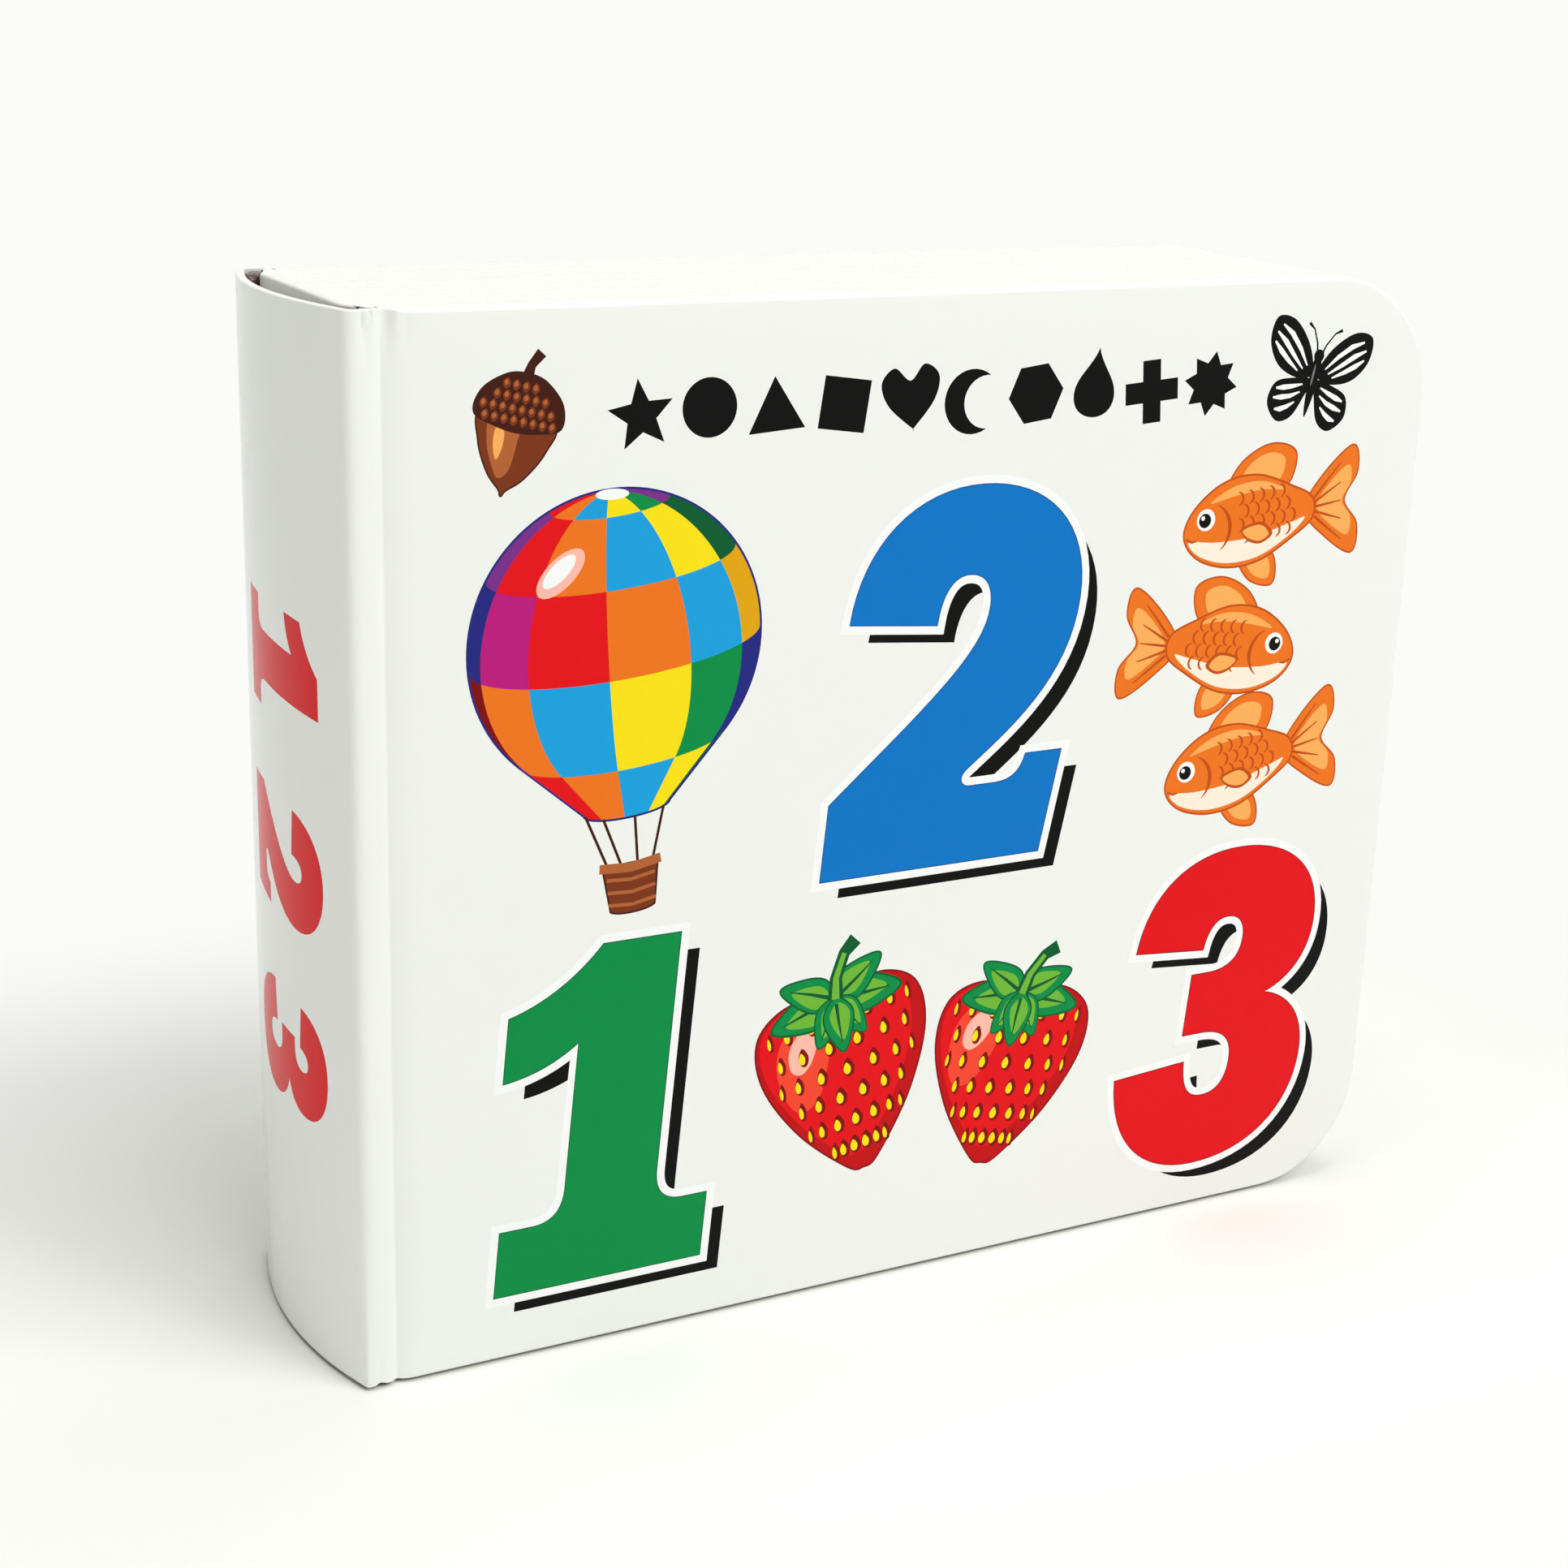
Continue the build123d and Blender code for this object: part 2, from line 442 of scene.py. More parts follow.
def placed(layers, scale, lean, to):
    """A picture's layers made larger, turned and put at their place together."""
    return [(moved(shape, scale, lean, to), ink) for shape, ink in layers]


def edged(shape, by, dark, ink):
    """Two layers: the shape a little wider in a dark ink, which leaves a thin edge, and the shape itself."""
    return [(grown(shape, by), dark), (shape, ink)]


print("outline helpers ready")

# %% [markdown]
# ## The inks
# The numerals and pictures use strong plain inks with a darker and a lighter tone beside them,
# as on any nursery book. The white line round each numeral is a little brighter than the card.

# %% Name the inks
ink_colours = {
    "black": (7, 6, 6), "keyline": (250, 251, 250), "grey": (120, 120, 122),
    "blue": (0, 118, 200), "blue_deep": (0, 70, 140), "sky": (24, 160, 222), "navy": (36, 40, 128),
    "red": (230, 12, 22), "red_dark": (196, 8, 16), "red_deep": (128, 6, 10), "red_light": (246, 72, 48),
    "pink": (255, 190, 172), "green": (0, 142, 70), "green_deep": (0, 92, 48), "leaf": (112, 184, 56),
    "orange": (240, 118, 28), "orange_deep": (196, 78, 18), "orange_light": (252, 176, 92),
    "cream": (253, 240, 220), "yellow": (252, 226, 18), "yellow_deep": (228, 166, 10),
    "purple": (122, 48, 138), "magenta": (188, 24, 126), "brown": (124, 54, 24),
    "brown_deep": (66, 26, 14), "brown_light": (180, 100, 52)}
inks = {name: film("ink_" + name, linear(*colour), shine=0.15, mirror=0.1) for name, colour in ink_colours.items()}
finishes = [white_film, card_board, painted_shade_board] + list(inks.values())
ink_slot = {name: number + 3 for number, name in enumerate(inks)}
print(len(inks), "inks")

# %% [markdown]
# ## The numerals
# The numerals are heavy and lean forward. Each is one outline. Under it lie a wider white one
# and a black one that is moved down and to the right, so a black edge shows like a shadow.

# %% Draw the numerals 1, 2 and 3
numerals = {
    1: outline((2, 0), (36, 0), (36, 10.5), (32, 10.5), (28.5, 10.5, 27, 12.5, 27, 16), (27, 54), (14.5, 54),
               (11, 49.5, 6, 46, 0.5, 44.5), (0.5, 34.5), (5, 35, 8.8, 36.6, 12, 39.2), (12, 16),
               (12, 12.5, 10.5, 10.5, 7, 10.5), (2, 10.5)),
    2: outline((1, 0), (36.8, 0), (38.4, 15), (32.4, 15), (31.8, 12.2, 30.4, 11.2, 27.4, 11.2), (23.6, 11.2),
               (22, 11.2, 21.4, 12.7, 22.7, 13.8), (29, 19, 38, 25.5, 38, 37.3), (38, 47.8, 30.2, 54.4, 19.6, 54.4),
               (8.8, 54.4, 1.6, 47.2, 1.0, 36.4), (14.8, 35.2), (15, 39.6, 16.5, 42, 19.1, 42),
               (21.7, 42, 23.2, 40.2, 23.2, 37.2), (23.2, 30.5, 14.5, 23.5, 1, 11)),
    3: outline((1, 17.2), (2, 6, 9.2, -0.4, 19.4, -0.4), (30.8, -0.4, 38.4, 6, 38.4, 15.9),
               (38.4, 22.2, 34.8, 26.8, 28.8, 28.2), (34, 30, 36.8, 34, 36.8, 39.4),
               (36.8, 48.6, 29.8, 54.4, 19.2, 54.4), (9.2, 54.4, 2.4, 48.8, 1.6, 38.8), (14.8, 37.6),
               (15.2, 41, 16.6, 42.8, 18.9, 42.8), (21.2, 42.8, 22.6, 41.2, 22.6, 38.6),
               (22.6, 35.2, 20.4, 33.4, 16.6, 33.4), (13.4, 33.4), (13.4, 23), (17, 23),
               (21.6, 23, 23.8, 21, 23.8, 17.2), (23.8, 13.6, 22.2, 11.6, 19.2, 11.6),
               (16.2, 11.6, 14.8, 13.6, 14.4, 18.2))}
forward = 0.09
numerals = {number: shape @ np.array([[1, 0], [forward, 1]]) for number, shape in numerals.items()}
numeral_middle, shadow_step = np.array([19, 27]), (3.0, -2.8)
white_width, edge_width = 1.35, 0.14


def numeral(number, ink, edge, to, scale):
    """A numeral in layers: the black one lower right, the white one wider, a thin darker edge, and the ink."""
    shape = turned_ccw(moved(numerals[number] - numeral_middle, scale, to=to))
    layers = [(shape + shadow_step, "black"), (grown(shape, white_width), "keyline")]
    return layers + edged(shape, edge_width, edge, ink)


print("numerals have", [len(shape) for shape in numerals.values()], "points")

# %% [markdown]
# ## The pictures
# Each picture is built as a printer's illustrator would cut it: first the whole shape in its
# darkest tone, then smaller shapes in lighter tones moved towards the light, then the details.

# %% Draw a strawberry
def strawberry(to, scale, lean):
    """A heart-shaped fruit with seeds in rows that get narrower towards its sides, and a star of leaves."""
    body = blob([(0, 10), (6.5, 12), (12, 9), (12.6, 2), (8.6, -7), (2.4, -14.6), (0, -15.6), (-2.4, -14.6),
                 (-8.6, -7), (-12.6, 2), (-12, 9), (-6.5, 12)])
    layers = edged(body, 0.25, "red_deep", "red_dark")
    layers += [(moved(body, 0.9, 0, (-0.7, 0.9)), "red"),
               (blob([(-9.6, 6), (-6, 9.6), (-1, 8.8), (-2.2, 3), (-5, -3), (-8.4, -3.6), (-10.2, 1)]), "red_light"),
               (blob([(-8, 5.4), (-6, 7.6), (-3.4, 7), (-4.6, 3.4), (-6.6, 1.6), (-8.2, 2.6)]), "pink")]
    rows, places = np.meshgrid(np.arange(6), np.arange(-3, 4), indexing="ij")
    level = 7.6 - 3.9 * rows
    width = np.interp(level, [-15.6, -12, -7, 2, 9], [0.5, 5, 8.8, 12.4, 12])
    angle = (places + 0.5 * (rows % 2)) * 0.36
    seed = blob([(0, 0.95), (0.55, 0.1), (0.3, -0.7), (-0.3, -0.7), (-0.55, 0.1)], 4)
    for x, y, a in zip((width * np.sin(angle)).ravel(), level.ravel(), angle.ravel()):
        if abs(a) < 1.2 and abs(x) < 11.6:
            thin = np.array([max(math.cos(a), 0.35), 1])
            layers += [(seed * thin * 1.6 + (x + 0.25, y + 0.1), "red_deep"), (seed * thin + (x, y), "yellow")]
    petal = blob([(0, 0), (2.6, 2.6), (2.2, 6.2), (0, 10), (-2.2, 6.2), (-2.6, 2.6)])
    vein = stroke([(0, 1), (0.1, 4.5), (0, 8.4)], [0.7, 0.5, 0.15])
    sepal = edged(petal, 0.3, "green_deep", "green")
    sepal += [(moved(petal, 0.7, 0, (-0.3, 0.9)), "leaf"), (vein, "green_deep")]
    for turn_by, length in ((-98, 1.0), (98, 1.0), (-62, 0.86), (62, 0.86), (150, 0.72), (-150, 0.72), (180, 0.8)):
        layers += placed(sepal, length, turn_by, (0, 10.6))
    stem = [(0, 10.5), (0.6, 13.5), (2.4, 16.6), (4.4, 18)]
    layers += [(stroke(stem, [2.4, 1.9, 1.8, 2.2]), "green_deep"), (stroke(stem[:3], [1.2, 0.9, 0.7]), "leaf")]
    return placed(layers, scale, lean, to)


# %% Draw a goldfish
def goldfish(to, scale, lean, mirrored=False):
    """A plump fish with rows of scales: body, pale belly, three fins, a gill and an eye."""
    body = blob([(-14.5, -0.4), (-12, 4), (-6, 7.4), (1, 7.6), (8, 4.6), (12.4, 1.9), (12.4, -1.7), (8, -4.4),
                 (1, -7.2), (-6, -7.2), (-12, -4.6)])
    belly = blob([(-13.6, -1.6), (-8, -2.6), (0, -3), (8, -1.8), (11, -1.4), (7.6, -4), (1, -6.6), (-6, -6.6),
                  (-11.6, -4.4)])
    tail = blob([(11, 0), (15, 5.4), (21.5, 9.6), (22.4, 5), (19.4, 0.2), (22.2, -4.6), (21, -9.4), (15, -5.2)])
    back_fin = blob([(-5, 6.4), (-2, 10.6), (4, 12.6), (9, 10.4), (7, 5), (1, 6.2)])
    low_fin = blob([(-3, -6.2), (-1, -10.4), (3.6, -12), (4.4, -8.4), (2.6, -5.6)])
    layers = []
    for fin in (tail, back_fin, low_fin):
        layers += edged(fin, 0.3, "orange_deep", "orange")
        layers.append((moved(fin - fin.mean(0), 0.66, 0, fin.mean(0)), "orange_light"))
    for y in (-5.4, -2.4, 0.2, 2.8, 5.6):
        layers.append((stroke([(13, y * 0.3), (16, y * 0.8), (18.8, y * 1.25)], [0.5, 0.4, 0.2]), "orange_deep"))
    layers += edged(body, 0.35, "orange_deep", "orange")
    layers += [(belly, "cream"), (blob([(-9, 4.4), (-4, 6.5), (2, 6.5), (7, 4.2), (2, 5), (-4, 4.8)]), "orange_light")]
    scale_width = [0.12, 0.3, 0.4, 0.45, 0.45, 0.45, 0.4, 0.3, 0.12]
    for row, y in enumerate((4.2, 1.9, -0.4, -2.6)):
        for x in np.arange(-3.4 + 1.1 * (row % 2), 9.6 - abs(y) * 0.7, 2.2):
            layers.append((stroke(arch(x, y, 1.25, -75, 75, 9), scale_width), "orange_deep"))
    layers += [(stroke(arch(-9.6, -0.2, 4.6, -58, 62, 13), np.sin(np.linspace(0.15, 3, 13)) * 0.75), "orange_deep"),
               (blob([(-2.6, -1.2), (1.6, -0.6), (4, -3), (1.4, -4.4), (-1.4, -3.4)]), "orange_deep"),
               (blob([(-2.2, -1.5), (1.4, -1.1), (3.2, -3), (1.2, -3.9), (-1.2, -3)]), "orange_light"),
               (oval(-10, 1.7, 1.9), "keyline"), (oval(-10.2, 1.6, 1.25), "black"),
               (oval(-10.6, 2.1, 0.4, count=16), "keyline"),
               (stroke([(-14.2, -1), (-13, -1.7), (-12, -1.7)], [0.3, 0.45, 0.2]), "orange_deep")]
    flip = np.array([-1 if mirrored else 1, 1])
    return placed([(shape * flip, ink) for shape, ink in layers], scale, lean, to)


# %% Draw a hot-air balloon
def balloon(to, scale, lean):
    """A ball of gores over a cone. A place at the angle a round the balloon lies r sin a across and, as the
    balloon is seen a little from below, r cos a sin 12 degrees lower than its height on the axis."""
    tilt, cone, slant = math.radians(12), math.radians(135), 9
    down = np.append(np.radians([0, 24, 58, 92, 135]), cone + 1.05)
    rounds = np.radians([-90, -68, -38, -4, 30, 60, 90])
    radius = 23.0

    def seam(f, a):
        """Places at the angle f down from the top: on the ball, and from the cone's start on straight inwards."""
        f, a = np.broadcast_arrays(np.asarray(f, float), np.asarray(a, float))
        past = slant * np.clip(f - cone, 0, None)
        r = radius * np.sin(np.minimum(f, cone)) - past
        y = radius * np.cos(np.minimum(f, cone)) - past
        return np.stack([r * np.sin(a), y * math.cos(tilt) - r * np.cos(a) * math.sin(tilt)], -1)

    def cell(f0, f1, a0, a1, along, across):
        """The loop round the field between two heights and two seams."""
        return np.concatenate([seam(np.linspace(f0, f1, along), a0), seam(f1, np.linspace(a0, a1, across))[1:],
                               seam(np.linspace(f1, f0, along), a1)[1:]])

    bright = ["red", "yellow", "blue", "orange", "green", "magenta", "sky", "purple"]
    dim = ["red_deep", "yellow_deep", "navy", "orange_deep", "green_deep", "purple", "blue", "navy"]
    top = 0.02
    layers = [(grown(cell(top, down[-1], rounds[-1], rounds[0], 60, 20), 0.35), "navy")]
    for row in range(len(down) - 1):
        for gore in range(len(rounds) - 1):
            first, a0, a1 = max(down[row], top), rounds[gore], rounds[gore + 1]
            field = np.concatenate([cell(first, down[row + 1], a0, a1, 12, 10),
                                    seam(first, np.linspace(a1, a0, 10))[1:-1]])
            shaded = gore in (0, len(rounds) - 2) and row > 0
            layers.append((field, (dim if shaded else bright)[(3 * gore + 5 * row + (row > 2)) % len(bright)]))
    layers += [(oval(-8.2, 11.6, 4.6, 2.2, 38), "pink"), (oval(-8.4, 11.9, 3.2, 1.3, 38), "keyline"),
               (oval(0.4, 21.9, 2.6, 0.8, -4), "keyline")]
    mouth = seam(down[-1], np.radians([-80, -35, 10, 60]))
    for (x, y), foot in zip(mouth, (-3.6, -1.4, 1.2, 3.6)):
        layers.append((stroke([(x, y), (foot, -34.2)], 0.45), "brown_deep"))
    basket = outline((-4.4, -34), (-3.5, -41), (-2.4, -41.8, 2.4, -41.8, 3.5, -41), (4.4, -34))
    layers += edged(basket, 0.3, "brown_deep", "brown")
    for level_y in (-36, -38, -40):
        layers.append((stroke([(-3.9, level_y), (0, level_y - 0.5), (3.9, level_y)], 0.55), "brown_light"))
    layers.append((stroke([(-5, -34), (0, -34.6), (5, -34)], 1.5), "brown_light"))
    return placed(layers, scale, lean, to)


# %% Draw an acorn and a butterfly
def acorn(to, scale, lean):
    """A nut with a pale streak, under a cap of small overlapping scales, on a short stalk."""
    nut = blob([(-6.4, 1), (-6.2, -4), (-3.4, -9), (-0.6, -11.6), (0, -12.6), (0.6, -11.6), (3.4, -9), (6.2, -4),
                (6.4, 1)])
    cap = blob([(-8, 0.4), (-7.4, 4.4), (-3.6, 7.6), (0, 8.3), (3.6, 7.6), (7.4, 4.4), (8, 0.4), (4, -1), (0, -1.5),
                (-4, -1)])
    stalk = [(0, 7.6), (0.3, 10), (1.6, 12.4)]
    streak = blob([(-4.8, 0), (-4.7, -4), (-2.8, -8), (-1.2, -9.8), (0.4, -8), (0.8, -3), (0.6, 0.6)])
    gleam = blob([(-3.6, -1.6), (-3.4, -4.6), (-2.3, -6.8), (-1.7, -4.4), (-2, -1.8)])
    layers = [(stroke(stalk, [2.2, 1.6, 2.0]), "brown_deep")] + edged(nut, 0.3, "brown_deep", "brown")
    layers += [(streak, "brown_light"), (gleam, "orange_light")] + edged(cap, 0.3, "brown_deep", "brown_deep")
    scale_low = blob([(-0.75, 0), (0, 1.0), (0.75, 0), (0, -1.0)], 4)
    scale_top = blob([(-0.5, 0.1), (-0.1, 0.65), (0.35, 0.1), (-0.1, -0.4)], 4)
    for row, (y, reach) in enumerate(((6.2, 3.4), (4.2, 5.6), (2.2, 6.8), (0.3, 7.0))):
        for x in np.arange(-reach + 0.9 * (row % 2), reach + 0.1, 1.8):
            layers += [(scale_low + (x, y), "brown"), (scale_top + (x, y), "brown_light")]
    return placed(layers, scale, lean, to)


def butterfly(to, scale, lean):
    """Black wings with white bars, the right pair the mirror of the left, round a slim body."""
    upper = blob([(0.6, 1), (3, 6.4), (8, 10.6), (12.6, 10.4), (13, 5.4), (9.6, 1), (4, -0.6)])
    lower = blob([(0.6, -0.4), (5.4, -0.8), (9.4, -2.4), (10.2, -6.6), (7, -9.8), (3.6, -8.6), (1.6, -4.6)])
    bars = [stroke(np.array(line), [0.3, 0.9, 1.1, 0.4]) for line in (
        [(2.4, 2.2), (5, 5.2), (8, 7.8), (10.8, 9.2)], [(3.4, 1.4), (6.4, 3.7), (9.2, 6), (11.8, 7.6)],
        [(4.6, 0.8), (7.4, 2.4), (9.8, 4), (11.8, 5.6)], [(2.4, -1.6), (4.8, -2.4), (7, -3), (8.8, -3.4)],
        [(2.6, -3.2), (4.8, -4.4), (7, -5), (9, -5.4)], [(3.4, -5.4), (5, -6.6), (6.6, -7.4), (8, -7.6)])]
    feeler = stroke([(0.3, 4), (1.2, 7), (2.8, 9.6), (4.4, 10.6)], [0.5, 0.4, 0.35, 0.7])
    one_side = [(upper, "black"), (lower, "black"), (feeler, "black")] + [(bar, "keyline") for bar in bars]
    layers = [(shape * (side, 1), ink) for side in (1, -1) for shape, ink in one_side]
    layers += [(blob([(0, 5), (1.1, 3), (1.0, -3), (0, -8), (-1.0, -3), (-1.1, 3)]), "black"),
               (oval(0, 4.6, 1.3), "black"), (oval(-0.3, 0.6, 0.25, 2.2), "grey")]
    return placed(layers, scale, lean, to)


print("pictures ready")

# %% [markdown]
# ## The layout of the front
# Places on the front are measured from the spine's shoulder and from the tail. Numerals and
# pictures take turns, like the fields of a checkerboard, with a row of small black shapes above.

# %% Lay the front's print
front_print = balloon((37, 104.5), 0.93, 4)
front_print += numeral(1, "green", "green_deep", (35, 36), 0.95)
front_print += numeral(2, "blue", "blue_deep", (88, 94), 1.04)
front_print += strawberry((75, 36), 1.1, 12) + strawberry((103, 32), 1.06, -12)
front_print += goldfish((142, 114), 0.88, 6) + goldfish((139, 94), 0.88, -8, mirrored=True)
front_print += goldfish((142, 75), 0.88, 9)
front_print += numeral(3, "red", "red_deep", (140, 34.5), 0.98)
front_print += acorn((22.5, 135), 0.76, -14) + butterfly((151, 135), 0.74, -12)


def regular(corners, radius, lean=90):
    """A shape with that many equal sides."""
    return moved(arch(0, 0, radius, 0, 360, corners + 1)[:-1], lean=lean)


def star(points, radius, waist):
    """A star whose corners lie in turn on two circles."""
    a = np.linspace(0, 2 * math.pi, 2 * points, endpoint=False) + math.pi / 2
    r = np.where(np.arange(2 * points) % 2, waist, radius)
    return np.stack([r * np.cos(a), r * np.sin(a)], -1)


small_shapes = [
    star(5, 5.4, 2.4), oval(0, 0, 4.4), regular(3, 5.4), regular(4, 5.6, 45),
    blob([(0, 2.4), (2.6, 4.6), (5, 2.6), (4, -1), (0.2, -4.8), (-0.2, -4.8), (-4, -1), (-5, 2.6), (-2.6, 4.6)]),
    np.concatenate([arch(0, 0, 5, 54.9, 305.1, 24), arch(2.6, 0, 4.1, 273.85, 86.15, 20)[1:-1]]), regular(6, 5, 0),
    outline((0, 6), (1, 3, 3.8, 1.4, 3.8, -1.4), (3.8, -6, -3.8, -6, -3.8, -1.4), (-3.8, 1.4, -1, 3, 0, 6)),
    outline((-1.7, 5), (-1.7, 1.7), (-5, 1.7), (-5, -1.7), (-1.7, -1.7), (-1.7, -5), (1.7, -5), (1.7, -1.7),
            (5, -1.7), (5, 1.7), (1.7, 1.7), (1.7, 5)),
    star(8, 5.2, 3.4)]
row_x = (40, 50, 60, 70.5, 81, 91, 101.5, 111.5, 121.5, 132)
row_lean = (7, -5, 4, -8, 6, -3)
for number, (x, shape) in enumerate(zip(row_x, small_shapes)):
    place = (x, 135 + 0.7 * math.sin(2.1 * number))
    front_print.append((moved(shape, 0.92, row_lean[number % 6], place), "black"))
print(len(front_print), "shapes on the front")

# %% [markdown]
# ## The card with its print
# The real cover is one card. Here it is two pieces: one has the front crease and the other the
# back one. They meet on the flat strip behind the back shoulder, where no one sees the seam.
# Only the front piece is printed.

# %% Cut the printed regions
def inside(points, loop):
    """Whether each point lies in the loop: of the edges that a ray to the right crosses, those that go up and those
    that go down don't cancel out. So a loop that overlaps itself has no hole there."""
    a, b = loop, np.roll(loop, -1, 0)
    near = np.flatnonzero(((points >= loop.min(0)) & (points <= loop.max(0))).all(1))
    x, y = points[near, :1], points[near, 1:]
    spans = (a[:, 1] > y) != (b[:, 1] > y)
    rise = np.where(b[:, 1] == a[:, 1], 1, b[:, 1] - a[:, 1])
    crossed = spans & (x < a[:, 0] + (y - a[:, 1]) * (b[:, 0] - a[:, 0]) / rise)
    found = np.zeros(len(points), bool)
    found[near] = (crossed * np.where(b[:, 1] > a[:, 1], 1, -1)).sum(1) != 0
    return found


def printed(border, shapes, lines=()):
    """Cuts the region inside the border along every outline and gives each triangle its topmost ink's slot."""
    loops = [turned_ccw(border)] + [turned_ccw(np.asarray(shape, float)) for shape, ink in shapes]
    points = np.concatenate(loops)
    ends = np.cumsum([len(loop) for loop in loops])
    following = np.arange(1, len(points) + 1)
    following[ends - 1] = ends - [len(loop) for loop in loops]
    found = {tuple(np.round(point, 4)): number for number, point in enumerate(loops[0].tolist())}
    edges = np.stack([np.arange(len(points)), following], -1).tolist()
    edges += [(found[tuple(np.round(a, 4))], found[tuple(np.round(b, 4))]) for a, b in lines]
    corners, _, triangles, *_ = delaunay_2d_cdt([Vector(p) for p in points.tolist()], edges, [], 0, 1e-5, False)
    flat, triangles = np.array([tuple(corner) for corner in corners]), np.array(triangles)
    middle = flat[triangles].mean(1)
    triangles = triangles[inside(middle, loops[0])]
    middle = flat[triangles].mean(1)
    slots = np.zeros(len(triangles), int)
    for loop, (_, ink) in zip(loops[1:], shapes):
        slots[inside(middle, loop)] = ink_slot[ink]
    return flat, triangles, slots


def border_of(face, first=0):
    """The loop round the outer face's grid from the station first on: up, along the head, down, along the tail."""
    part = face[first:]
    return np.concatenate([part[0], part[1:, -1], part[-1, -2::-1], part[-2:0:-1, 0]])


rows = 0.5 - 0.5 * np.cos(math.pi * np.linspace(0, 1, 41))
spine_edge, board_edge, inner_edge = 0.2, 0.8, 0.12


def softness(x):
    """The rounding of the cut edge: sharp on the spine, and wider over the ramp until the board has its own."""
    t = np.clip((x - board_start) / ramp, 0, 1)
    return spine_edge + (board_edge - spine_edge) * t * t * (3 - 2 * t)


print("rows of the grid:", len(rows))

# %% Make the front card
outer, inner = (np.concatenate([[[seam_x, seam_y]], back_turn[k], bow_arc[k][1:], front_turn[k][1:], front_run[k][1:]])
                for k, seam_y in enumerate((half, stub_half)))
bent = len(outer) - len(front_run[0]) + 1
turned = np.concatenate([np.zeros(bent), front_run[2][1:]])
bow_first = len(back_turn[0])
bow_last = bow_first + len(bow_arc[0]) - 1
flat_first = bent + int(np.argmin(np.abs(outer[bent:, 0] - flat_x)))
soft = np.where(np.arange(len(outer)) < bent, spine_edge, softness(outer[:, 0]))
face, head, tail, under, fore, cap = slab(outer, inner, turned, soft, inner_edge, rows)

flat, triangles, slots = printed(border_of(face, flat_first)[:, [0, 2]] - (shoulder_x, 0), front_print)
front_face = np.stack([flat[:, 0] + shoulder_x, np.full(len(flat), -half), flat[:, 1]], -1)

steps = np.linalg.norm(np.diff(outer, axis=0), axis=1)
along = np.concatenate([[0], np.cumsum(steps)])
bow_face = face[bow_first:bow_last + 1]
bow_along = along[bow_first:bow_last + 1]
spine_border = border_of(np.stack([np.broadcast_to(bow_along[:, None], bow_face.shape[:2]), bow_face[..., 2]], -1))
foot_y, spine_scale = -8.9, 0.455
foot_line = float(np.interp(foot_y, -bow_face[:, 0, 1], bow_along))
spine_print = []
for number, z in ((1, 101.5), (2, 74.5), (3, 46.5)):
    shape = moved(numerals[number] - numeral_middle * (1, 0), spine_scale, -90, (foot_line, z))
    spine_print += edged(shape, 0.1, "red_dark", "red")
lines = [((s, bow_face[0, 0, 2]), (s, bow_face[0, -1, 2])) for s in bow_along[1:-1]]
flat, spine_triangles, spine_slots = printed(spine_border, spine_print, lines)
spine_face = np.stack([np.interp(flat[:, 0], along, outer[:, 0]), np.interp(flat[:, 0], along, outer[:, 1]),
                       flat[:, 1]], -1)
print("front region:", len(triangles), "triangles; spine region:", len(spine_triangles))

# %% [markdown]
# ## Marks of folding and use
# A new book already shows how it was made. The card crinkles where the hinge strip is folded at
# its head and tail, the shoulder is creased sharper near the table, and the edge it stands on is
# rubbed flat. These marks only move the points of the finished card a little.

# %% Weld the front card
def edge_patches(head, tail, under, fore, cap, rounded=6):
    """The cut edges, whose rounding is under the film while the rest shows the board, the inner face and the end.
    The tail edge, on which the book stands, is painted grey as shade, to darken its contact line with the table."""
    patches = [(*grid(under), 1, True), (*grid(fore[:rounded + 1]), 0, True), (*grid(fore[rounded:]), 1, True)]
    for rim, finish in ((head, 1), (tail, 2)):
        patches += [(*grid(rim[:, :rounded + 1]), 0, True), (*grid(rim[:, rounded:]), finish, True)]
    return patches + [(*closed(cap), 1, False)]


marks = np.array([[-82.3, 148.4, 0.35, 1.3, 0.55], [-81.8, 146.9, 0.28, 1.1, 0.5], [-81.2, 149.6, 0.25, 1.0, 0.3],
                  [-79.3, 149.8, 0.8, 4.5, 0.5], [-77.6, 149.4, 0.7, 2.6, -0.3], [-79.9, 0.6, 1.0, 4.0, 0.25],
                  [-82.6, 2.2, 0.35, 3.5, 0.25], [-76.6, 147.6, 0.8, 2.0, 0.2]])
mark_fade = 0.8
tail_clear, clear_fade = 0.6, 4
worn_share, worn_top, worn_fade = 0.65, 3, 2.2
sharp_top = 25
fill_share, fill_top = 0.5, 12
nicks, nick_fade = ((-79.9, 0.45, 0.2), (-82.4, 0.6, 0.35)), 1.5


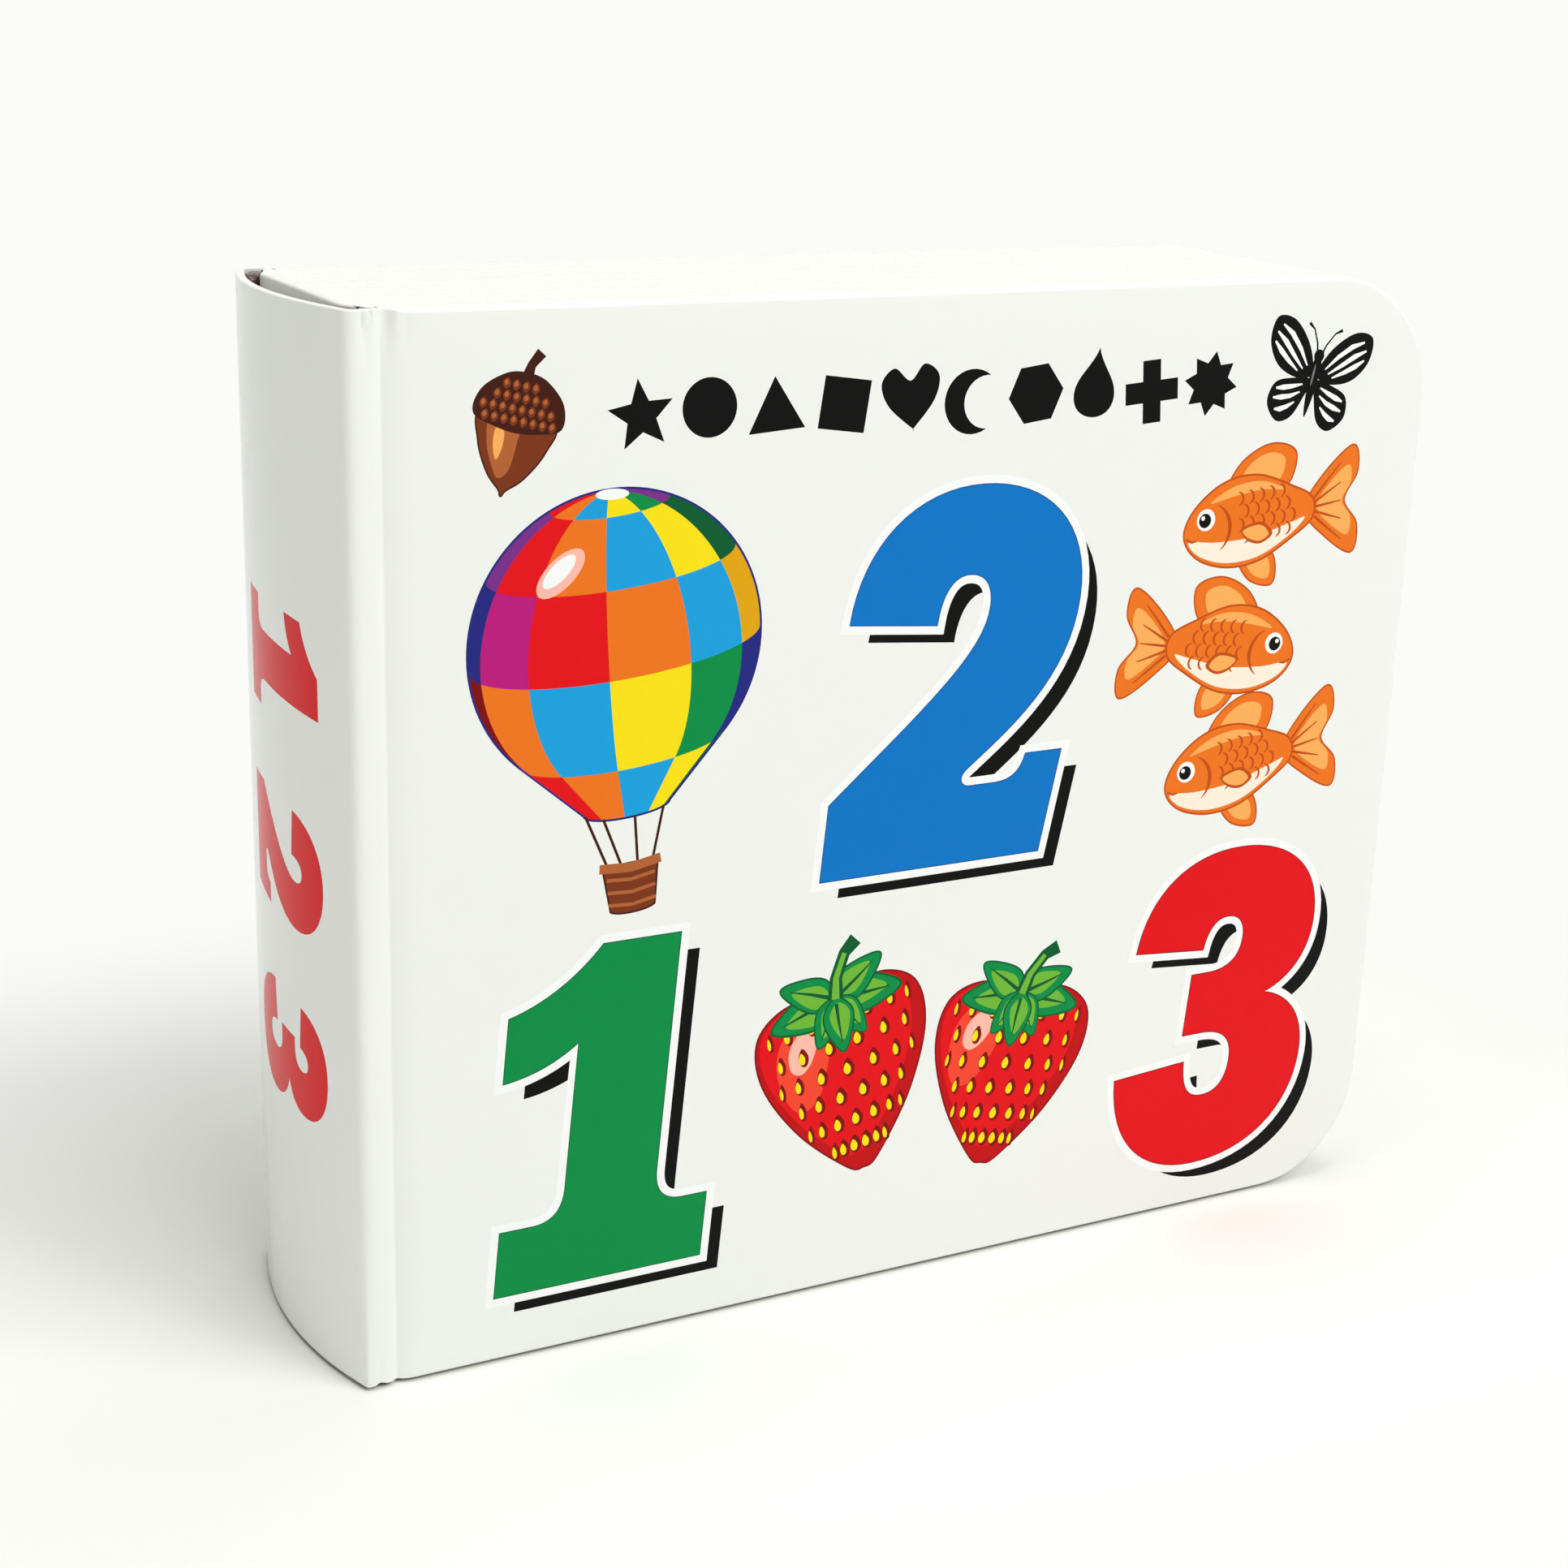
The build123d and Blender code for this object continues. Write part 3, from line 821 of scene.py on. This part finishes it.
def folded(points):
    """Marks of the folding: each presses the outer surface in by d exp(-u^2 - v^2) about its place, and both edges
    of the strip are nicked upwards at the tail. The inner surface stays, as the marks fade out towards it. The card's
    cut edge is clear of the table, which fades out over its lowest part. Towards the tail the shoulder is folded
    sharper: a point at the radius r goes out to r / cos t, the tangents' corner, where t is its angle from the
    nearer end of the arc. The crease fills up a little towards the tail, as the square of the height. A board's
    tail edge is worn flat: its rounding loses the worn share of its depth, and the cut edge takes that up."""
    x, y, z = points.T
    top, soft = crease(np.maximum(x, board_start)) - half, softness(x)
    deep = np.clip(y - top, 0, None)
    rest = np.maximum(-stub_half - top - soft, 0.01)
    flat = worn_share * np.where(deep < soft, deep, soft * np.clip(1 - (deep - soft) / rest, 0, 1))
    low = np.clip((worn_top - z) / worn_fade, 0, 1) * np.clip((x - board_start) / 2, 0, 1)
    y = y - flat * low
    lift = tail_clear * np.clip(1 - z / clear_fade, 0, 1) ** 2
    radius = np.hypot(x - turn_x, y + turn_y)
    angle = np.degrees(np.arctan2(y + turn_y, x - turn_x)) % 360
    t = np.radians(np.clip(np.minimum(angle - (360 - lean), 270 - angle), 0, 90))
    share = np.clip((radius - shoulder_round + card) / card, 0, 1) * np.clip(1 - z / sharp_top, 0, 1) ** 2
    out = np.where(radius < shoulder_round + 0.1, share * (1 / np.cos(t) - 1), 0)
    x, y = x + out * (x - turn_x), y + out * (y + turn_y)
    depth = np.clip((-stub_half - y) / mark_fade, 0, 1)
    press = sum(d * np.exp(-((x - mx) / wide) ** 2 - ((z - mz) / tall) ** 2) for mx, mz, wide, tall, d in marks)
    press = press - fill_share * crease(x) * np.clip(1 - z / fill_top, 0, 1) ** 2
    nick = sum(d * np.exp(-((x - nx) / wide) ** 2) for nx, wide, d in nicks) * np.exp(-z / nick_fade)
    return np.stack([x, np.maximum(y + depth * press, np.minimum(y, -half)), z + depth * nick + lift], -1)


front_card = make_piece("front_card", [(folded(points), *rest) for points, *rest in [
    (*grid(face[:bow_first + 1]), 0, True), (*grid(face[bow_last:flat_first + 1]), 0, True),
    (front_face, triangles, slots, False), (spine_face, spine_triangles, spine_slots, True),
    *edge_patches(head, tail, under, fore, cap)]], finishes)
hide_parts("front_cover", "spine_cover")
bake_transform(front_card)

# %% [markdown]
# ## The back of the cover
# The back isn't printed. Its card starts at the seam and runs over the hinge strip and the crease
# to the fore edge. So its plan is the front's, mirrored, and it takes the same marks.

# %% Make the back card
outer, inner, turned = back_run
face, head, tail, under, fore, cap = slab(outer, inner, turned, softness(outer[:, 0]), inner_edge, rows)
flat_first = int(np.argmin(np.abs(outer[:, 0] - flat_x)))
border = border_of(face, flat_first)
back_card = make_piece("back_card", [(folded(points * (1, -1, 1)) * (1, -1, 1), *rest) for points, *rest in [
    (*grid(face[:flat_first + 1]), 0, True), (*closed(border), 0, False),
    *edge_patches(head, tail, under, fore, cap)]], finishes[:3])
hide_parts("back_cover", "spine_cover")
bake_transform(back_card)

# %% [markdown]
# ## The leaves of the boards
# The first and the last leaf are pasted to the card and open with it. They end half a
# millimetre above the table.

# %% Make the two pasted leaves
def leaf_patches(first_x, low_y, high_y, short):
    """A leaf between two planes, whose die-cut outline is the board's but short of it at the tail."""
    x = np.append(first_x, np.full(corner_steps + 1, corner_x))
    turned = np.append(0, np.radians(np.linspace(0, 90, corner_steps + 1)))
    outer, inner = (np.stack([x, np.full(len(x), plane)], -1) for plane in (low_y, high_y))
    patches = []
    face, head, tail, under, fore, cap = slab(
        outer, inner, turned, inner_edge, inner_edge, np.array([0.0, 1.0]), steps=2)
    for points, slot in ((face, 1), (head, 0), (tail, 0), (under, 1), (fore, 0)):
        patches.append((*grid(points), slot, True))
    patches.append((*closed(cap), 0, False))
    squeeze = (1, 1, (height - short) / height)
    return [(points * squeeze + (0, 0, short), *rest) for points, *rest in patches]


for name, body, side in (("front_leaf", "front_board", -1), ("back_leaf", "back_board", 1)):
    y = sorted((side * stub_half, side * (stub_half - leaf)))
    piece = make_piece(name, leaf_patches(board_start, *y, short=0.5), [leaf_board, page_paper])
    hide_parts("front_cover" if side < 0 else "back_cover")
    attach(piece, body)

# %% [markdown]
# ## The block of leaves
# Twenty leaves are glued at their backs and cut together by one die, corners and all. Their
# edges are one surface with two parameters: the way round the block, and the way across it.
# Across each leaf the surface comes in by a small arc at both faces, which draws the line
# between two leaves, and no two leaves are trimmed quite alike.

# %% Make the block
back_x, back_edge, lining, leaves = shoulder_x + 1.2, 0.4, 1.3, 20
corner_depth, corner_width, ease = 2.6, 5.5, 0.45


def block_back(y):
    """The x of the block's back at |y|: flat, then a straight cut of slope k past the corner's start, and between
    them, over a width of 2e, the parabola k (t + e)^2 / 4e."""
    past = np.abs(y) - (stub_half - corner_width)
    slope = corner_depth / corner_width
    soft = slope * np.clip(past + ease, 0, 2 * ease) ** 2 / (4 * ease)
    return back_x + np.where(past > ease, slope * past, soft)


def ring():
    """The block's outline from the side and its outward directions: along the tail, round the fore edge, back
    along the head and down the back. A corner's points are its middle plus the radius times the direction."""
    spots, ways = [], []
    edge_x, fore_count, back_count = back_x + back_edge, corner_steps + 1, 6
    for x, z, radius, start, count in ((corner_x, fore_corner, fore_corner, -90, fore_count),
                                       (corner_x, height - fore_corner, fore_corner, 0, fore_count),
                                       (edge_x, height - back_edge, back_edge, 90, back_count),
                                       (edge_x, back_edge, back_edge, 180, back_count)):
        a = np.radians(np.linspace(start, start + 90, count))
        way = np.stack([np.cos(a), np.sin(a)], -1)
        spots.append(np.array([x, z]) + radius * way)
        ways.append(way)
    run = np.append([40, 10, -20, -50, -70], back_x + lining + np.array([0.6, 0.2, 0]))
    tail_run = np.stack([run[::-1], np.zeros(len(run))], -1)
    head_run = np.stack([run, np.full(len(run), height)], -1)
    down, up = np.tile([0.0, -1.0], (len(run), 1)), np.tile([0.0, 1.0], (len(run), 1))
    return (np.concatenate([tail_run, *spots[:2], head_run, *spots[2:]]),
            np.concatenate([down, *ways[:2], up, *ways[2:]]))


spot, way = ring()
knife_round, trim_spread = 0.16, 0.09
free_over, held_over = 0.6, 0.9
local = np.array([0, 0.015, 0.045, 0.09, 0.16, 0.6, 1.4, 1.84, 1.91, 1.955, 1.985])
into = np.clip(knife_round - np.minimum(local, leaf - local), 0, knife_round)
groove = knife_round - np.sqrt(knife_round ** 2 - into ** 2)
trim = np.random.default_rng(5).uniform(0, trim_spread, leaves)
number, place_in = np.divmod(np.arange(leaves * len(local)), len(local))
y = np.append(-leaves + leaf * number + local[place_in], leaves)
cut_in = np.append(groove[place_in] + trim[number], groove[0] + trim[-1])
first = np.arange(1, leaves) * len(local)
cut_in[first] = groove[0] + np.maximum(trim[1:], trim[:-1])
free = np.clip((spot[:, 0] - back_x - lining) / free_over, 0, 1)[:, None]
held = np.clip((back_x + lining - spot[:, 0]) / held_over, 0, 1)[:, None]
x = spot[:, :1] - way[:, :1] * cut_in * free + (block_back(y) - back_x) * held
z = spot[:, 1:] - way[:, 1:] * cut_in * free
edges = np.stack(np.broadcast_arrays(x, y, z), -1)
edges = np.concatenate([edges, edges[:1]])
patches = [(*grid(edges), 0, True), (*closed(edges[:-1, 0]), 1, False), (*closed(edges[:-1, -1]), 1, False)]

# the stubs of the two outer leaves, under the hinge strips, with a bevel at head and tail
turn_in = np.linspace(stub_half, leaves, 12)
on_block = leaves + 0.01
plan = np.concatenate([
    [[strip_end, on_block], [strip_end, stub_half - inner_edge], [strip_end - inner_edge, stub_half]],
    np.stack([block_back(turn_in), turn_in], -1)[:-1], [[block_back(leaves), on_block]]])
away = plan - plan.mean(0)
away /= np.linalg.norm(away, axis=1, keepdims=True)
for side in (-1, 1):
    levels = []
    for z_at, step in ((0, inner_edge), (inner_edge, 0), (height - inner_edge, 0), (height, inner_edge)):
        level_plan = plan - step * away
        levels.append(np.stack([level_plan[:, 0], side * level_plan[:, 1], np.full(len(plan), float(z_at))], -1))
    levels = np.array(levels)
    levels = np.concatenate([levels, levels[:, :1]], 1)
    patches += [(*grid(levels), 0, False), (*closed(levels[0, :-1]), 0, False), (*closed(levels[-1, :-1]), 0, False)]
block = make_piece("page_block_leaves", patches, [leaf_board, page_paper])
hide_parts("page_block")
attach(block, "block")

# %% [markdown]
# ## The glue
# Hot glue holds the shoulders to the block. It was squeezed into the corner of the hollow, so
# its section fills the room between the card and the block's back and ends in a soft lip.

# %% Mix the glue
hot_glue, nodes, links, shader = new_material("hot_glue")
shader.inputs["Roughness"].default_value = 0.32
where = nodes.new("ShaderNodeTexCoord")
clouds = add_node(nodes, "ShaderNodeTexNoise", Scale=520, Detail=2)
tone = colour_ramp(nodes, 0.35, linear(34, 13, 9), 0.75, linear(112, 60, 48))
bump = add_node(nodes, "ShaderNodeBump", Strength=0.5, Distance=0.0003)
join(links, (where, "Object", clouds, "Vector"), (clouds, "Fac", tone, "Fac"), (clouds, "Fac", bump, "Height"),
     (tone, "Color", shader, "Base Color"), (bump, "Normal", shader, "Normal"))
print("glue:", hot_glue.name)

# %% Make the beads of glue
bead_start, bead_stop, bead_round = 0.45, height - 0.15, 0.5
bead_end, bead_lip, bead_gap = 22.05, 16.6, 0.08


def card_inside(y):
    """The x of the card's inner face at |y|: on the bow's circle, or past the shoulder on the small one."""
    on_bow = bow_middle - np.sqrt((bow_radius - card) ** 2 - y ** 2)
    on_turn = turn_x - np.sqrt(np.maximum((shoulder_round - card) ** 2 - np.maximum(y - turn_y, 0) ** 2, 0))
    return np.where(y > (bow_radius - card) * math.sin(math.radians(180 - lean)), on_turn, on_bow)


def bead(side):
    """The section is a loop at the angle a: |y| runs as cos a between the lip and the shoulder, and x as sin a
    to the power 0.45 between card and block. The lip wanders with the height, and both ends are round."""
    v = 0.5 - 0.5 * np.cos(math.pi * np.linspace(0, 1, 110))[:, None]
    a = np.linspace(0, 2 * math.pi, 33)[None, :]
    z = bead_start + (bead_stop - bead_start) * v
    end = np.minimum(z - bead_start, bead_stop - z)
    close = np.sqrt(1 - (1 - np.clip(end / bead_round, 0, 1)) ** 2)
    lip = bead_lip + 0.5 * np.sin(z * 0.21 + side) + 0.4 * np.sin(z * 0.83) + 0.25 * np.sin(z * 2.3 + 2 * side)
    wide, mid = (bead_end - lip) / 2, (bead_end + lip) / 2
    y = mid + wide * close * np.cos(a)
    left, right = card_inside(y) + bead_gap, block_back(y) - bead_gap
    across = close * np.sign(np.sin(a)) * np.abs(np.sin(a)) ** 0.45
    x = (left + right) / 2 + np.maximum(right - left, 0.02) / 2 * across
    points = np.stack(np.broadcast_arrays(x, side * y, z), -1)
    points[:, -1] = points[:, 0]
    return points


for name, side in (("spine_glue_front", -1), ("spine_glue_back", 1)):
    points = bead(side)
    piece = make_piece(name + "_bead", [(*grid(points), 0, True)], [hot_glue], sharp=80)
    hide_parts(name)
    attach(piece, "block")

# %% [markdown]
# ## The table and the light
# The book stands on a pale sheet that sweeps up behind it, so no horizon shows. Beyond the book's
# shadow the sheet fades, for the camera and for mirrors alone, into an even white. The distance
# from the book's footprint tells where. Close by it is plain paper that takes the shadow. The
# sheet and the lamps are laid out in metres.

# %% Sweep the sheet up behind the book
fall = np.radians(np.linspace(-90, 0, 24))[1:]
rise_start, sweep_round = 0.9, 1.1
profile = np.concatenate([
    [(-2.5, 0.0), (rise_start, 0.0)],
    np.stack([rise_start + sweep_round * np.cos(fall), sweep_round + sweep_round * np.sin(fall)], -1), [(2.0, 4.0)]])
across = np.linspace(-4, 4, 3)
sheet = np.stack(np.broadcast_arrays(across[:, None], profile[:, 0], profile[:, 1]), -1)
spin = np.array([[math.cos(view_round), -math.sin(view_round)], [math.sin(view_round), math.cos(view_round)]])
sheet[..., :2] = sheet[..., :2] @ spin
points, quads = grid(sheet)
mesh = bpy.data.meshes.new("paper_sweep")
mesh.from_pydata(points.tolist(), [], quads[:, ::-1].tolist())
mesh.shade_smooth()
sweep = bpy.data.objects.new("paper_sweep", mesh)
bpy.context.scene.collection.objects.link(sweep)
print("sheet has", len(quads), "faces")

# %% Mix the paper and its fade
paper, nodes, links, shader = new_material("paper_sweep")
shader.inputs["Base Color"].default_value = linear(247, 248, 243)
shader.inputs["Roughness"].default_value = 0.9
shader.inputs["Specular IOR Level"].default_value = 0.1
even_white = linear(251, 252, 248)
white = add_node(nodes, "ShaderNodeEmission", Color=even_white, Strength=1)
where = nodes.new("ShaderNodeTexCoord")
step = where.outputs["Object"]
for operation, value in (("ABSOLUTE", None), ("SUBTRACT", (fore_x * MM, half * MM, 0)),
                         ("MAXIMUM", (0, 0, 0)), ("LENGTH", None)):
    away = with_operation(nodes, "ShaderNodeVectorMath", operation)
    links.new(step, away.inputs[0])
    if value:
        away.inputs[1].default_value = value
    step = away.outputs[0]
far = add_node(nodes, "ShaderNodeMapRange", **{"From Min": 0.03, "From Max": 0.16})
far.interpolation_type = "SMOOTHSTEP"
links.new(away.outputs["Value"], far.inputs["Value"])


def looked_at(nodes, links):
    """One where a surface is seen by the camera, in a mirror or through glass, and zero where it gives light."""
    path = nodes.new("ShaderNodeLightPath")
    seen = path.outputs["Is Camera Ray"]
    for ray in ("Is Glossy Ray", "Is Transmission Ray"):
        either = with_operation(nodes, "ShaderNodeMath", "MAXIMUM")
        links.new(seen, either.inputs[0])
        links.new(path.outputs[ray], either.inputs[1])
        seen = either.outputs["Value"]
    return seen


both = with_operation(nodes, "ShaderNodeMath", "MULTIPLY")
links.new(looked_at(nodes, links), both.inputs[1])
fade = nodes.new("ShaderNodeMixShader")
join(links, (far, "Result", both, 0), (both, "Value", fade, "Fac"), (shader, "BSDF", fade, 1),
     (white, "Emission", fade, 2), (fade, "Shader", nodes["Material Output"], "Surface"))
mesh.materials.append(paper)
print("paper:", paper.name)

# %% [markdown]
# The head of the book is its brightest side and the spine its darkest, and the shadow falls to
# the left. So the strongest lamp hangs overhead. One on the front right grazes the front and
# draws the crease, and a higher one evens it. A weak one on the left keeps the spine from going
# grey. The room gives little light, but shows the sheet's white past its edges.

# %% Hang the lamps
def lamp(name, place, across, power):
    """A square soft lamp at a place, turned to the middle of the book."""
    light = bpy.data.lights.new(name, "AREA")
    light.size, light.energy = across, power
    holder = bpy.data.objects.new(name, light)
    holder.location = place
    holder.rotation_euler = (Vector((0, 0, 0.07)) - Vector(place)).to_track_quat("-Z", "Y").to_euler()
    bpy.context.scene.collection.objects.link(holder)


lamp("overhead_lamp", (0.0, 0.0, 2.0), 1.2, 17.5)
lamp("front_lamp", (1.0, -1.3, 1.35), 1.0, 16.0)
lamp("high_lamp", (0.2, -1.3, 1.6), 1.0, 14.4)
lamp("left_lamp", (-1.8, -0.2, 0.7), 1.0, 7.0)
world = bpy.data.worlds.new("white_room")
world.use_nodes = True
nodes, links = world.node_tree.nodes, world.node_tree.links
nodes["Background"].inputs["Color"].default_value = (1, 1, 1, 1)
nodes["Background"].inputs["Strength"].default_value = 0.04
shown = add_node(nodes, "ShaderNodeBackground", Color=even_white, Strength=1)
room = nodes.new("ShaderNodeMixShader")
links.new(looked_at(nodes, links), room.inputs["Fac"])
join(links, (nodes["Background"], "Background", room, 1), (shown, "Background", room, 2),
     (room, "Shader", nodes["World Output"], "Surface"))
bpy.context.scene.world = world
bpy.context.scene.view_settings.view_transform = "Standard"
print("four lamps and a white room")
